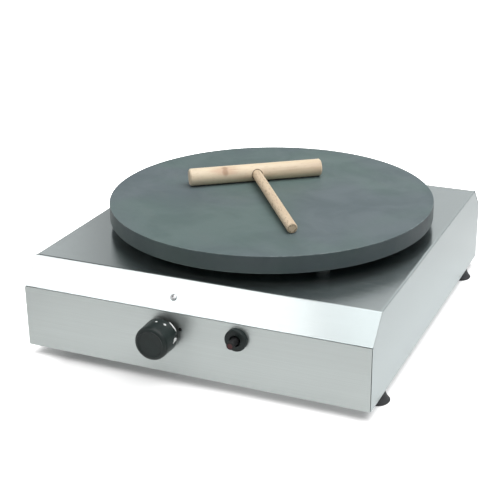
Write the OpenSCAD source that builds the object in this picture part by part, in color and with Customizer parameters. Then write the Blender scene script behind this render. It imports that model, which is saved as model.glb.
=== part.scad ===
/* [Housing] */
// Width of the housing over its sides
body_w = 422; // [410:1:450]
// Depth of the housing from front panel to rear panel
body_d = 465; // [455:1:500]
// Height of the housing without its feet
body_h = 104; // [104:1:125]
// Run and drop of the sloped bands at the front and rear of the cover
slope = 29; // [25:1:32]
// Thickness of the stainless sheet
sheet = 1.5; // [1.2:0.1:1.8]
// Outside radius of the sheet bends
bend_r = 3; // [2.5:0.25:4]
// Gap left where two sheets meet at a seam
seam = 0.6; // [0.4:0.1:1.2]

/* [Feet] */
// Height of the rubber feet
foot_h = 13; // [10:1:20]
// Radius of a foot where it meets the table
foot_base_r = 15.5; // [13:0.5:18]
// Radius of a foot under the housing
foot_top_r = 10; // [9:0.5:12]
// Distance from a foot's centre to the side of the housing
foot_inset_x = 10; // [10:0.5:12]
// Distance from a foot's centre to the front or rear panel
foot_inset_y = 51; // [40:1:70]

/* [Griddle plate] */
// Radius of the cast plate
plate_r = 200; // [190:1:202]
// Thickness of the cast plate
plate_t = 21; // [18:0.5:25]
// Height of the air gap between the cover and the plate
plate_gap = 11; // [9:0.5:15]
// Distance of the plate's centre behind the housing's centre
plate_y = 5; // [0:1:10]
// Radius of the circle that the plate's posts stand on
post_ring_r = 155; // [153:1:160]

/* [Burner] */
// Radius of the opening in the cover
opening_r = 140; // [135:1:142]
// Radius from the centre to the end of a burner arm
arm_reach = 132; // [110:1:134]
// Outside radius of a burner arm
arm_r = 9.5; // [8:0.5:10]
// Number of gas slits along each side of an arm
slit_count = 11; // [6:1:12]

/* [Controls] */
// Offset of the gas knob from the centre, negative to the left
knob_x = -31; // [-40:1:-25]
// Height of the knob's axis above the bottom of the housing
knob_z = 48; // [44:1:50]
// Greatest radius of the knob, at its back
knob_r = 20.4; // [18:0.1:24]
// Distance from the front panel to the knob's front face
knob_reach = 32.2; // [28:0.1:34]
// How far the knob pushes in
knob_push = 3; // [2:0.25:3]
// Offset of the igniter from the centre
igniter_x = 58.6; // [50:0.1:80]
// Height of the igniter's axis above the bottom of the housing
igniter_z = 57.3; // [50:0.1:60]
// Radius of the igniter's head
igniter_r = 12.8; // [11:0.1:14]
// Radius of the igniter's button
button_r = 4.6; // [4:0.1:6]
// Distance from the front panel to the end of the button
button_reach = 19; // [15:0.1:20]

/* [Spreader] */
// Length of the spreader's bar
bar_l = 172; // [150:1:200]
// Radius of the spreader's bar
bar_r = 11; // [9:0.5:12]
// Length of the handle from the bar's axis to its end
handle_l = 193; // [150:1:200]
// Radius of the handle
handle_r = 6.25; // [5:0.25:7]
// Direction of the bar as it lies on the plate, in degrees
bar_turn = 35.8; // [0:0.1:90]

/* [Hidden] */

$fn = 64;

// Housing levels and half sizes
half_w = body_w / 2;
half_d = body_d / 2;
floor_z = foot_h;
deck_z = foot_h + body_h;
slope_z = deck_z - slope;
inner_w = half_w - sheet;
bend_steps = 5;
// A 45 degree corner moves this much along its level side for each unit of inset
corner_shift = tan(22.5);
// Radius of the bends between the deck and the sides, and the half width of the deck between them
side_bend = 2.5;
deck_w = half_w - side_bend;
side_top = deck_z - side_bend;
fold_relief = 0.5;
// Mitred gap at the four upright corners
mitre = 0.6;
corner_w = half_w - mitre;
// Height of the small ledge that the front and rear panels close up to
ledge = 0.4;
tail_drop = 12;
tail_w = 193;
panel_w = corner_w - sheet;
side_flange_w = 20;
side_flange_l = 432;
panel_return = 14;
panel_flange_w = 185;
collar_h = 4;
vent_x = [-40:16:168];
vent_z = floor_z + 44;

// Screws: shank radius, radius of the holes they pass and where they stand
screw_r = 2;
screw_hole = 2.2;
rear_screw_x = [-165, -60, 60, 165];
rear_screw_z = slope_z - 6;
base_screw_x = [-150, -50, 50, 150];
base_screw_inset = 8;
foot_screw_r = 2.5;
foot_screw_hole = 2.7;
foot_socket_r = 6.5;
foot_socket_h = 5;

// Gas train
knob_axis_z = floor_z + knob_z;
igniter_axis_z = floor_z + igniter_z;
front_y = -half_d;
rear_y = half_d;
screw_x = -23;
screw_s = 12.2;
bracket_x = -27;
bracket_w = 30;
bracket_t = 2;
bracket_y = front_y + 19.5;
neck_r = 8;
tap_r = 14;
tap_end_y = front_y + 47.5;
branch_y = tap_end_y - 10;
train_run = plate_y - tap_end_y;
train_turn = atan2(-knob_x, train_run);
train_l = norm([knob_x, train_run]);
supply_x = -90;
supply_r = 6;
supply_bend = 22;
inlet_r = 10.48;
inlet_shoulder_r = 12.4;
inlet_nut_h = 7;
inlet_thread_l = 22;
inlet_end_y = -front_y + knob_reach;

// Burner
arm_count = 8;
arm_pitch = 360 / arm_count;
pan_r = opening_r + 2;
pan_t = 1.2;
pan_flange_r = 166;
pan_z = floor_z + 65;
pan_bend = 5;
pan_lip = 3;
pan_top = deck_z - sheet;
hub_r = 36;
hub_z = pan_z + pan_t;
hub_top = hub_z + 26;
arm_z = hub_z + 14.8;
hub_neck_r = 14;
hub_foot_h = 3;
hub_screw_ring = 42;
hub_screw_turns = [22.5:90:360];
arm_start = 31;
arm_wall = 1;
slit_w = 1.2;
mouth_d = 36;
mouth_r = 15;
throat_r = 10.5;
knuckle_r = 16;
// Flame probe and spark electrode, side by side next to the front arm
pilot_x = 19;
pilot_y = -92;
pilot_pitch = 15;
probe_hole = 3.2;
electrode_hole = 4.7;

// Griddle plate and posts
plate_z = deck_z + plate_gap;
plate_top = plate_z + plate_t;
post_turns = [45:90:315];
post_r = 8;
stud_r = 3;
stud_hole = 3.3;
pin_r = 4;
pin_h = 5;
pin_play = 0.3;

// Controls
knob_back = 3.8;
spindle_r = 4;
spindle_play = 0.05;
spindle_tip = front_y - knob_reach + 5;
key_flat = 2.6;
spindle_end = front_y + 27.5;
plunger_r = 2.5;
plunger_l = 15;
tap_spring_l = 11.5;
head_h = 6;
barrel_r = 9;
barrel_end = 41;
button_play = 0.08;
button_shoulder = 8;
button_stem = 20;
button_stem_r = 2.3;
button_bore_end = 27;

// Spreader
bar_x = -39.6;
bar_y = 48.1;
rest_gap = 0.3;
bar_z = plate_top + bar_r + rest_gap;
handle_tilt = asin((bar_r - handle_r) / handle_l);

// Colours
steel = [0.80, 0.82, 0.82];
iron = [0.27, 0.31, 0.32];
brass = [0.78, 0.63, 0.32];
black = [0.10, 0.11, 0.11];
timber = [0.86, 0.78, 0.66];

// Points of an arc about (cx, cy), from angle a0 to angle a1
function arc(cx, cy, r, a0, a1, steps = bend_steps) =
    [for (i = [0:steps]) let (a = a0 + (a1 - a0) * i / steps) [cx + r * cos(a), cy + r * sin(a)]];

// Bends of the cover at the front (side = -1) and rear (side = 1), drawn in by t
bend_y = half_d - slope - bend_r * corner_shift;
bend_z = deck_z - bend_r;

function cover_bend(side, t, a0, a1) = bend_r - t > 0.1
    ? arc(side * bend_y, bend_z, bend_r - t, a0, a1)
    : [[side * (half_d - slope - t * corner_shift), deck_z - t]];

// Extrudes a side view, drawn in Y and Z, over the width from x0 to x1
module across(x0, x1) {
    translate([x0, 0, 0]) rotate([90, 0, 90]) linear_extrude(x1 - x0) children();
}

// Places a shape at a height on the Y axis direction, pointing to the rear
module along_y(x, y, z) {
    translate([x, y, z]) rotate([-90, 0, 0]) children();
}

// Places a shape on the line of the gas train, d from the tap towards the burner
module on_train(d) {
    translate([knob_x, tap_end_y, knob_axis_z]) rotate([0, 0, -train_turn]) rotate([-90, 0, 0])
        translate([0, 0, d]) children();
}

// Hexagon across the flats af, standing h high
module hex(af, h) {
    cylinder(r = af / 2 / cos(30), h = h, $fn = 6);
}

// Nut with a round bore
module nut(af, h, bore_r) {
    difference() {
        hex(af, h);
        translate([0, 0, -1]) cylinder(r = bore_r, h = h + 2);
    }
}

// Pan-head screw, head upwards from z = 0 and shank below it
module pan_screw(head_r, head_h, shank_r, shank_l) {
    rotate_extrude() polygon(concat([[0, -shank_l], [shank_r, -shank_l], [shank_r, 0], [head_r, 0]],
        arc(head_r - head_h * 0.7, head_h * 0.3, head_h * 0.7, 0, 90, 4), [[0, head_h]]));
}

// Point at u on the smooth curve with ends p[0] and p[3], aimed at p[1] and p[2]
function curve_point(p, u) =
    pow(1 - u, 3) * p[0] + 3 * u * pow(1 - u, 2) * p[1] + 3 * u * u * (1 - u) * p[2] + pow(u, 3) * p[3];

function curve_heading(p, u) =
    pow(1 - u, 2) * (p[1] - p[0]) + 2 * u * (1 - u) * (p[2] - p[1]) + u * u * (p[3] - p[2]);

function unit(v) = v / norm(v);

// Thin lead along a smooth curve; side is a direction that the curve never takes
module lead(p, r, side) {
    rings = 20;
    sides = 8;
    corners = [for (i = [0:rings]) let (
            u = i / rings,
            ahead = unit(curve_heading(p, u)),
            a = unit(cross(side, ahead)),
            b = cross(ahead, a))
        for (j = [0:sides - 1]) curve_point(p, u) + r * (cos(j * 360 / sides) * a + sin(j * 360 / sides) * b)];
    first = [for (j = [0:sides - 1]) j];
    last = [for (j = [sides - 1:-1:0]) rings * sides + j];
    walls = [for (i = [0:rings - 1], j = [0:sides - 1]) let (
            k = i * sides + j,
            n = i * sides + (j + 1) % sides)
        each [[k, k + sides, n], [n, k + sides, n + sides]]];
    polyhedron(points = corners, faces = concat([first], walls, [last]));
}

// Rounded slot of length l and width w through a sheet, lying along X
module slot(l, w, h) {
    for (s = [-1, 1]) translate([s * (l - w) / 2, 0, 0]) cylinder(r = w / 2, h = h, center = true);
    cube([l - w, w, h], center = true);
}

// Places copies at the four feet
module at_feet() {
    for (sx = [-1, 1], sy = [-1, 1]) foot_place(sx, sy) children();
}

module foot_place(sx, sy) {
    translate([sx * (half_w - foot_inset_x), sy * (half_d - foot_inset_y), 0]) children();
}

module post_place(turn) {
    translate([0, plate_y, 0]) rotate(turn) translate([post_ring_r, 0, 0]) children();
}

// Sheet of one side of the cover: mitred upright edges, and edges close under the sloped bands
module side_sheet() {
    under = slope_z - (sheet + seam) * sqrt(2);
    top_y = half_d - side_top + under;
    edge_y = half_d - mitre;
    difference() {
        union() {
            across(inner_w, half_w) polygon([[-edge_y, floor_z], [-edge_y, under + mitre], [-top_y, side_top],
                [top_y, side_top], [edge_y, under + mitre], [edge_y, floor_z]]);
            translate([inner_w - side_flange_w, -side_flange_l / 2, floor_z])
                cube([side_flange_w + sheet / 2, side_flange_l, sheet]);
        }
        for (e = [0, 1]) mirror([0, e, 0]) translate([0, 0, floor_z - 1]) linear_extrude(body_h) polygon([
            [half_w + 1, -half_d - 1], [half_w + 1, -half_d + mitre - 1],
            [inner_w - 1, -half_d + mitre + sheet + 1], [inner_w - 1, -half_d - 1]]);
    }
}

// Folded cover: deck, sloped bands, sides, tails behind the end panels and a raised opening
module top_cover() {
    tail_z = slope_z - tail_drop;
    low_z = slope_z + ledge;
    outer_y = half_d - ledge;
    inner_y = outer_y - sheet * sqrt(2);
    fold_y = bend_y - fold_relief;
    outline = concat([[-outer_y, low_z]], cover_bend(-1, 0, 135, 90), cover_bend(1, 0, 90, 45),
        [[outer_y, low_z], [inner_y, low_z]], cover_bend(1, sheet, 45, 90), cover_bend(-1, sheet, 90, 135),
        [[-inner_y, low_z]]);
    color(steel) difference() {
        union() {
            across(-deck_w, deck_w) polygon(outline);
            for (e = [0, 1]) mirror([0, e, 0]) across(-tail_w, tail_w)
                translate([-half_d + sheet, tail_z]) square([sheet, tail_drop + sheet / 2]);
            for (m = [0, 1]) mirror([m, 0, 0]) {
                across(deck_w, half_w) difference() {
                    polygon(outline);
                    translate([-bend_y, slope_z]) square([2 * bend_y, slope + 1]);
                }
                translate([deck_w, fold_y, side_top]) rotate([90, 0, 0]) linear_extrude(2 * fold_y)
                    polygon(concat(arc(0, 0, side_bend, 0, 90), arc(0, 0, side_bend - sheet, 90, 0)));
                side_sheet();
            }
            translate([0, plate_y, deck_z - sheet])
                cylinder(r = opening_r + sheet, h = sheet + collar_h, $fn = 128);
        }
        translate([0, plate_y, deck_z - 10]) cylinder(r = opening_r, h = 30, $fn = 128);
        translate([igniter_x - 17, front_y - 1, tail_z - 1]) cube([34, 5, tail_drop + 0.5]);
        for (x = rear_screw_x) along_y(x, rear_y - 6, rear_screw_z) cylinder(r = screw_hole, h = 12);
        for (a = post_turns) post_place(a) translate([0, 0, deck_z - 5]) cylinder(r = stud_hole, h = 10);
        at_feet() translate([0, 0, floor_z - 5]) cylinder(r = foot_screw_hole, h = 12);
        on_slope() translate([0, 0, -10]) cylinder(r = screw_hole, h = 20);
    }
}

// Moves to the screw's place on the front band, with Z square to the sheet
module on_slope() {
    translate([screw_x, front_y + screw_s, slope_z + screw_s]) rotate([45, 0, 0]) children();
}

// Front or rear panel: a pan with mitred corners, upright returns and a flange at the bottom
module end_panel() {
    back = -half_d + panel_return;
    face = -half_d + sheet;
    plan = [[-corner_w, -half_d], [corner_w, -half_d], [panel_w, face], [panel_w, back],
        [panel_w - sheet, back], [panel_w - sheet, face], [-panel_w + sheet, face],
        [-panel_w + sheet, back], [-panel_w, back], [-panel_w, face]];
    translate([0, 0, floor_z]) linear_extrude(slope_z - ledge - floor_z) polygon(plan);
    translate([-panel_flange_w, -half_d + sheet / 2, floor_z]) cube([2 * panel_flange_w, panel_return, sheet]);
}

module front_panel() {
    color(steel) difference() {
        end_panel();
        along_y(knob_x, front_y - 5, knob_axis_z) cylinder(r = 6, h = 12);
        along_y(igniter_x, front_y - 5, igniter_axis_z) cylinder(r = barrel_r + 0.1, h = 12);
        base_screw_holes();
    }
}

module rear_panel() {
    color(steel) difference() {
        rotate(180) end_panel();
        along_y(supply_x, rear_y - 6, knob_axis_z) cylinder(r = inlet_shoulder_r + 0.3, h = 12);
        for (x = vent_x) translate([x, rear_y, vent_z]) rotate([90, 90, 0]) slot(34, 5, 12);
        for (x = rear_screw_x) along_y(x, rear_y - 6, rear_screw_z) cylinder(r = screw_hole, h = 12);
        base_screw_holes();
    }
}

module base_screw_holes() {
    for (x = base_screw_x, s = [-1, 1])
        translate([x, s * (half_d - base_screw_inset), floor_z - 5]) cylinder(r = screw_hole, h = 12);
}

// Base plate with air slots, clamped on the flanges by the feet
module base_plate() {
    color(steel) difference() {
        translate([-inner_w + 3, -half_d + 2, floor_z + sheet]) cube([2 * inner_w - 6, body_d - 4, sheet]);
        for (x = [-105, 105], y = [-130:20:130]) translate([x, y, floor_z + 2]) slot(110, 6, 10);
        at_feet() translate([0, 0, floor_z - 5]) cylinder(r = foot_screw_hole, h = 12);
        base_screw_holes();
    }
}

// Bell-shaped rubber foot with a counterbore for its screw
module foot() {
    wall = [for (i = [0:10]) let (u = i / 10)
        [foot_top_r + (foot_base_r - foot_top_r) * (1 - u) * (1 - u), 1.2 + u * (foot_h - 1.2)]];
    color(black) difference() {
        rotate_extrude() polygon(concat([[0, 0], [foot_base_r - 0.8, 0]], wall, [[0, foot_h]]));
        translate([0, 0, -1]) cylinder(r = foot_socket_r, h = foot_socket_h + 1);
        translate([0, 0, -1]) cylinder(r = foot_screw_hole, h = foot_h + 5);
    }
}

module front_left_foot() {
    foot_place(-1, -1) foot();
}

module front_right_foot() {
    foot_place(1, -1) foot();
}

module rear_left_foot() {
    foot_place(-1, 1) foot();
}

module rear_right_foot() {
    foot_place(1, 1) foot();
}

module foot_screws() {
    color(steel) at_feet() translate([0, 0, foot_socket_h]) mirror([0, 0, 1])
        pan_screw(5, 3, foot_screw_r, foot_h + 3.5);
}

module foot_nuts() {
    color(steel) at_feet() translate([0, 0, floor_z + 2 * sheet]) nut(8, 4, foot_screw_r);
}

module rear_panel_screws() {
    color(steel) for (x = rear_screw_x)
        along_y(x, rear_y, rear_screw_z) pan_screw(3.8, 2.4, screw_r, 8);
}

module base_screws() {
    color(steel) for (x = base_screw_x, s = [-1, 1]) translate([x, s * (half_d - base_screw_inset), floor_z])
        mirror([0, 0, 1]) pan_screw(4, 2.4, screw_r, 7);
}

// Cast round plate with softened edges, webs underneath and sockets for the posts
module griddle_plate() {
    recess = 3;
    rim_in = 146;
    edge = 0.8;
    section = concat([[0, plate_z], [plate_r - 1.2, plate_z]],
        arc(plate_r - 1.2, plate_z + 1.2, 1.2, -90, 0, 4),
        arc(plate_r - edge, plate_top - edge, edge, 0, 90, 4), [[0, plate_top]]);
    color(iron) difference() {
        translate([0, plate_y, 0]) rotate_extrude($fn = 180) polygon(section);
        translate([0, plate_y, 0]) difference() {
            translate([0, 0, plate_z - 1]) cylinder(r = rim_in, h = recess + 1, $fn = 128);
            translate([0, 0, plate_z - 2]) cylinder(r = 24, h = recess + 4);
            translate([0, 0, plate_z - 2]) difference() {
                cylinder(r = 92, h = recess + 4);
                translate([0, 0, -1]) cylinder(r = 84, h = recess + 6);
            }
            for (a = [0:45:135]) rotate(a) translate([0, 0, plate_z])
                cube([2 * rim_in + 4, 8, 2 * recess + 4], center = true);
        }
        for (a = post_turns) post_place(a) translate([0, 0, plate_z - 1])
            cylinder(r = pin_r + pin_play, h = pin_h + 2);
    }
}

// Turned post: flange on the cover, shoulder under the plate, pin above and stud below
module post() {
    stud = sheet + pan_t + 6.5;
    color(steel) translate([0, 0, deck_z]) rotate_extrude() polygon(concat(
        [[0, -stud], [stud_r, -stud], [stud_r, 0], [post_r + 3, 0], [post_r + 3, 1.6]],
        arc(post_r + 3, 4.6, 3, 270, 180, 4),
        [[post_r, plate_gap], [pin_r, plate_gap], [pin_r, plate_gap + pin_h - 1.2]],
        [[pin_r - 1.2, plate_gap + pin_h], [0, plate_gap + pin_h]]));
}

module front_left_post() {
    post_place(225) post();
}

module front_right_post() {
    post_place(315) post();
}

module rear_left_post() {
    post_place(135) post();
}

module rear_right_post() {
    post_place(45) post();
}

module post_nuts() {
    color(steel) for (a = post_turns) post_place(a) translate([0, 0, pan_top - pan_t - 5]) nut(10, 5, stud_r);
}

// Pressed pan that hangs under the cover and holds the burner
module burner_pan() {
    wall_x = pan_r + pan_t;
    lip_x = wall_x + pan_lip;
    lip_z = pan_top - pan_t - pan_lip;
    section = concat([[pan_flange_r, pan_top], [pan_flange_r, pan_top - pan_t]],
        arc(lip_x, lip_z, pan_lip, 90, 180),
        arc(pan_r - pan_bend, pan_z + pan_t + pan_bend, pan_bend + pan_t, 0, -90),
        [[hub_neck_r + 2, pan_z], [hub_neck_r + 2, pan_z + pan_t]],
        arc(pan_r - pan_bend, pan_z + pan_t + pan_bend, pan_bend, -90, 0),
        arc(lip_x, lip_z, pan_lip + pan_t, 180, 90));
    color(steel) translate([0, plate_y, 0]) difference() {
        rotate_extrude($fn = 128) polygon(section);
        for (a = [11.25:22.5:360]) rotate(a) translate([108, 0, pan_z - 1]) cylinder(r = 7, h = 5);
        for (a = [0:45:315]) rotate(a) translate([62, 0, pan_z - 1]) cylinder(r = 5, h = 5);
        for (a = post_turns) rotate(a) translate([post_ring_r, 0, pan_top - 5]) cylinder(r = stud_hole, h = 10);
        for (a = hub_screw_turns) rotate(a) translate([hub_screw_ring, 0, pan_z - 1])
            cylinder(r = screw_hole, h = 5);
        translate([pilot_x, pilot_y - plate_y, pan_z - 1]) cylinder(r = probe_hole, h = 5);
        translate([pilot_x + pilot_pitch, pilot_y - plate_y, pan_z - 1]) cylinder(r = electrode_hole, h = 5);
    }
}

// Cast hub: foot flange, round chamber with a socket for each arm, and a neck for the gas
module burner_hub() {
    color(iron) translate([0, plate_y, 0]) difference() {
        rotate_extrude() polygon(concat([[11, hub_z - 15], [hub_neck_r, hub_z - 15], [hub_neck_r, hub_z]],
            [[hub_r + 11, hub_z], [hub_r + 11, hub_z + hub_foot_h], [hub_r + 1.5, hub_z + hub_foot_h],
            [hub_r - 3, hub_z + hub_foot_h + 1]],
            arc(hub_r - 3, hub_z + 7, 3, -90, 0, 3), [[hub_r, hub_top], [29, hub_top], [29, hub_z + 6]],
            [[14, hub_z + 4], [11, hub_z + 2]]));
        for (i = [0:arm_count - 1]) rotate(i * arm_pitch) translate([20, 0, arm_z]) rotate([0, 90, 0])
            cylinder(r = arm_r + 0.05, h = 30);
        for (a = hub_screw_turns) rotate(a) translate([hub_screw_ring, 0, hub_z - 1])
            cylinder(r = screw_hole, h = 8);
    }
}

module hub_screws() {
    color(steel) translate([0, plate_y, hub_z + hub_foot_h]) for (a = hub_screw_turns) rotate(a)
        translate([hub_screw_ring, 0, 0]) pan_screw(3.6, 2.2, screw_r, 8);
}

module burner_cap() {
    color(iron) translate([0, plate_y, hub_top]) rotate_extrude() polygon(concat(
        [[0, -2], [28.9, -2], [28.9, 0], [38, 0]], arc(35.5, 1, 2.5, 0, 80, 4), [[0, 4.6]]));
}

// Burner arm: closed tube with two rows of gas slits
module burner_arm(index) {
    slit_first = 14;
    slit_last = 10;
    pitch = (arm_reach - arm_start - slit_first - slit_last) / (slit_count - 1);
    turn = (index - 1) * arm_pitch;
    color(steel) translate([0, plate_y, arm_z]) rotate(turn) rotate([0, 90, 0]) difference() {
        rotate_extrude() polygon([[arm_r - arm_wall, arm_start], [arm_r, arm_start], [arm_r, arm_reach - 3],
            [arm_r - 2.5, arm_reach], [0, arm_reach], [0, arm_reach - 1.5], [arm_r - 3, arm_reach - 1.5],
            [arm_r - arm_wall, arm_reach - 3.5]]);
        for (i = [0:slit_count - 1], s = [-1, 1]) rotate(180 + s * 42)
            translate([arm_r - 3, -3.2, arm_start + slit_first + i * pitch]) cube([6, 6.4, slit_w]);
    }
}

module burner_arm_1() {
    burner_arm(1);
}

module burner_arm_2() {
    burner_arm(2);
}

module burner_arm_3() {
    burner_arm(3);
}

module burner_arm_4() {
    burner_arm(4);
}

module burner_arm_5() {
    burner_arm(5);
}

module burner_arm_6() {
    burner_arm(6);
}

module burner_arm_7() {
    burner_arm(7);
}

module burner_arm_8() {
    burner_arm(8);
}

// Mixing tube: flared mouth, throat, widening run and a knuckle up to the hub
module mixer_tube() {
    socket_top = hub_z - 3.5;
    color(iron) difference() {
        union() {
            on_train(mouth_d) rotate_extrude() polygon([[0, 0], [mouth_r, 0], [mouth_r, 6], [throat_r, 22],
                [throat_r, 40], [12.5, 70], [12.5, train_l - mouth_d], [0, train_l - mouth_d]]);
            translate([0, plate_y, knob_axis_z]) sphere(r = knuckle_r);
            translate([0, plate_y, knob_axis_z]) cylinder(r = knuckle_r, h = socket_top - knob_axis_z);
        }
        on_train(mouth_d) rotate_extrude() polygon([[0, -1], [mouth_r - 1.8, -1], [mouth_r - 1.8, 6],
            [throat_r - 2.5, 22], [throat_r - 2.5, 40], [10.5, 70],
            [10.5, train_l - mouth_d], [0, train_l - mouth_d]]);
        translate([0, plate_y, knob_axis_z]) sphere(r = 10.6);
        translate([0, plate_y, knob_axis_z]) cylinder(r = 10.5, h = 40);
        translate([0, plate_y, hub_z - 15]) cylinder(r = hub_neck_r + 0.05, h = 40);
    }
}

// Bracket that holds the mixing tube up from the base
module mixer_bracket() {
    plate_d = 92;
    base_top = floor_z + 2 * sheet;
    rise = knob_axis_z - base_top;
    above = 15.5;
    color(steel) difference() {
        union() {
            on_train(plate_d) translate([0, (rise - above) / 2, 1]) cube([38, rise + above, 2], center = true);
            on_train(plate_d) translate([0, rise - 1, 8]) cube([38, 2, 16], center = true);
        }
        on_train(plate_d - 5) cylinder(r = 12.3, h = 20);
    }
}

// Sleeve with two air windows, clamped on the mouth
module air_shutter() {
    color(steel) on_train(mouth_d - 8) difference() {
        cylinder(r = mouth_r + 1.3, h = 13);
        translate([0, 0, -1]) cylinder(r = mouth_r + 0.05, h = 15);
        for (s = [-1, 1]) translate([s * (mouth_r + 1), 0, 3.5]) cube([8, 16, 4], center = true);
    }
}

module injector() {
    color(brass) on_train(22) difference() {
        union() {
            hex(12, 6);
            translate([0, 0, 6]) cylinder(r1 = 4.5, r2 = 3, h = 9);
        }
        translate([0, 0, -1]) cylinder(r = 1.6, h = 13);
        cylinder(r = 0.5, h = 20, $fn = 24);
    }
}

// Tap body: threaded neck, barrel, inlet branch, magnet branch and a turned outlet
module gas_tap_body() {
    shoulder_y = bracket_y + bracket_t;
    color(brass) difference() {
        union() {
            along_y(knob_x, front_y + 6, knob_axis_z) cylinder(r = neck_r, h = 18);
            along_y(knob_x, shoulder_y, knob_axis_z) cylinder(r = tap_r, h = tap_end_y - shoulder_y);
            translate([knob_x, tap_end_y, knob_axis_z]) sphere(r = tap_r);
            on_train(0) cylinder(r = 8.5, h = 22);
            translate([knob_x, branch_y, knob_axis_z]) rotate([0, -90, 0]) cylinder(r = 9, h = 27);
            translate([knob_x, branch_y, knob_axis_z]) rotate([0, 90, 0]) cylinder(r = 9.5, h = 25);
        }
        along_y(knob_x, front_y, knob_axis_z)
            cylinder(r = spindle_r + spindle_play, h = spindle_end - front_y + knob_push + 0.5);
        along_y(knob_x, spindle_end - 1, knob_axis_z)
            cylinder(r = plunger_r + spindle_play, h = 1 + plunger_l + tap_spring_l);
        translate([knob_x - 40, branch_y, knob_axis_z]) rotate([0, 90, 0])
            cylinder(r = supply_r + 0.05, h = 20);
    }
}

module tap_nut() {
    color(brass) along_y(knob_x, bracket_y - 6, knob_axis_z) nut(22, 6, neck_r);
}

// Folded bracket that hangs the tap from the front band
module tap_bracket() {
    inner = slope_z - sheet * sqrt(2) - front_y;
    low_y = front_y + 4.5;
    top_y = bracket_y + bracket_t;
    back = bracket_t * sqrt(2);
    color(steel) difference() {
        across(bracket_x - bracket_w / 2, bracket_x + bracket_w / 2) polygon([
            [low_y, low_y + inner], [top_y, top_y + inner], [top_y, knob_axis_z - 14],
            [bracket_y, knob_axis_z - 14], [bracket_y, bracket_y + inner - back],
            [low_y + bracket_t / sqrt(2), low_y + inner - bracket_t / sqrt(2)]]);
        along_y(knob_x, bracket_y - 5, knob_axis_z) cylinder(r = neck_r + 0.2, h = 12);
        on_slope() translate([0, 0, -12]) cylinder(r = screw_hole, h = 20);
    }
}

module bracket_screw() {
    color(steel) on_slope() pan_screw(3.5, 2.2, screw_r, 8);
}

module bracket_nut() {
    color(steel) on_slope() translate([0, 0, -sheet - bracket_t - 3.2]) nut(7, 3.2, screw_r);
}

module tap_spindle() {
    color(steel) difference() {
        along_y(knob_x, spindle_tip, knob_axis_z) cylinder(r = spindle_r, h = spindle_end - spindle_tip);
        translate([knob_x - 6, spindle_tip - 1, knob_axis_z + key_flat]) cube([12, 16, 4]);
    }
}

// Pusher between the spindle and the safety magnet
module safety_plunger() {
    color(steel) along_y(knob_x, spindle_end + 0.05, knob_axis_z) cylinder(r = plunger_r, h = plunger_l);
}

module tap_spring() {
    color(steel) along_y(knob_x, spindle_end + plunger_l + 0.1, knob_axis_z) difference() {
        cylinder(r = 2.45, h = tap_spring_l - 0.1);
        translate([0, 0, -1]) cylinder(r = 1.6, h = tap_spring_l + 2);
    }
}

// Round knob that tapers slightly, with a rounded rim, a dished face, a hollow back and a keyed boss
module control_knob() {
    face = knob_reach - knob_back;
    grip_r = knob_r - 0.6;
    section = concat([[0, 0], [knob_r - 0.5, 0], [knob_r, 0.5], [knob_r, 3.5], [grip_r + 0.3, 8]],
        arc(grip_r - 2.7, face - 2.7, 2.7, 5, 90, 7), arc(15.4, face - 0.8, 0.8, 90, 165, 4),
        [[14.2, face - 2.4], [13.2, face - 2.7], [0, face - 3]]);
    color(black) difference() {
        translate([knob_x, front_y - knob_back, knob_axis_z]) rotate([90, 0, 0])
            rotate_extrude($fn = 96) polygon(section);
        translate([knob_x, front_y - knob_back, knob_axis_z]) rotate([90, 0, 0]) difference() {
            translate([0, 0, -1]) cylinder(r = 16.8, h = 16);
            translate([0, 0, -2]) cylinder(r = 7, h = 20);
            for (a = [45, 135]) rotate(a) translate([0, 0, 8.5]) cube([34, 2, 15], center = true);
        }
        difference() {
            along_y(knob_x, spindle_tip, knob_axis_z) cylinder(r = spindle_r + spindle_play, h = 30);
            translate([knob_x - 6, spindle_tip - 6, knob_axis_z + key_flat + spindle_play]) cube([12, 20.9, 4]);
        }
    }
}

// Bent supply pipe from the tap to the rear inlet
module supply_pipe() {
    start_x = knob_x - 21;
    bend_x = supply_x + supply_bend;
    color(brass) {
        translate([bend_x, branch_y, knob_axis_z]) rotate([0, 90, 0])
            cylinder(r = supply_r, h = start_x - bend_x);
        translate([bend_x, branch_y + supply_bend, knob_axis_z]) rotate(180)
            rotate_extrude(angle = 90) translate([supply_bend, 0]) circle(r = supply_r);
        along_y(supply_x, branch_y + supply_bend, knob_axis_z)
            cylinder(r = supply_r, h = rear_y - 10 - branch_y - supply_bend);
    }
}

module pipe_nuts() {
    color(brass) {
        translate([knob_x - 27, branch_y, knob_axis_z]) rotate([0, -90, 0]) nut(20, 9, supply_r);
        along_y(supply_x, rear_y - 24.5, knob_axis_z) nut(20, 9, supply_r);
    }
}

// Inlet fitting: collar inside the rear panel, a shoulder through it and a half-inch male thread outside
module inlet_fitting() {
    color(brass) difference() {
        union() {
            along_y(supply_x, rear_y - 15.5, knob_axis_z) hex(30, 14);
            along_y(supply_x, rear_y - sheet, knob_axis_z)
                cylinder(r = inlet_shoulder_r, h = sheet + inlet_end_y - inlet_thread_l - rear_y);
            along_y(supply_x, rear_y + inlet_nut_h, knob_axis_z)
                cylinder(r = inlet_r, h = inlet_end_y - rear_y - inlet_nut_h);
        }
        along_y(supply_x, rear_y - 20, knob_axis_z) cylinder(r = supply_r + 0.05, h = 10);
        along_y(supply_x, rear_y - 20, knob_axis_z) cylinder(r = 5, h = 80);
    }
}

module inlet_nut() {
    color(brass) along_y(supply_x, rear_y, knob_axis_z) nut(32, inlet_nut_h, inlet_shoulder_r);
}

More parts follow.
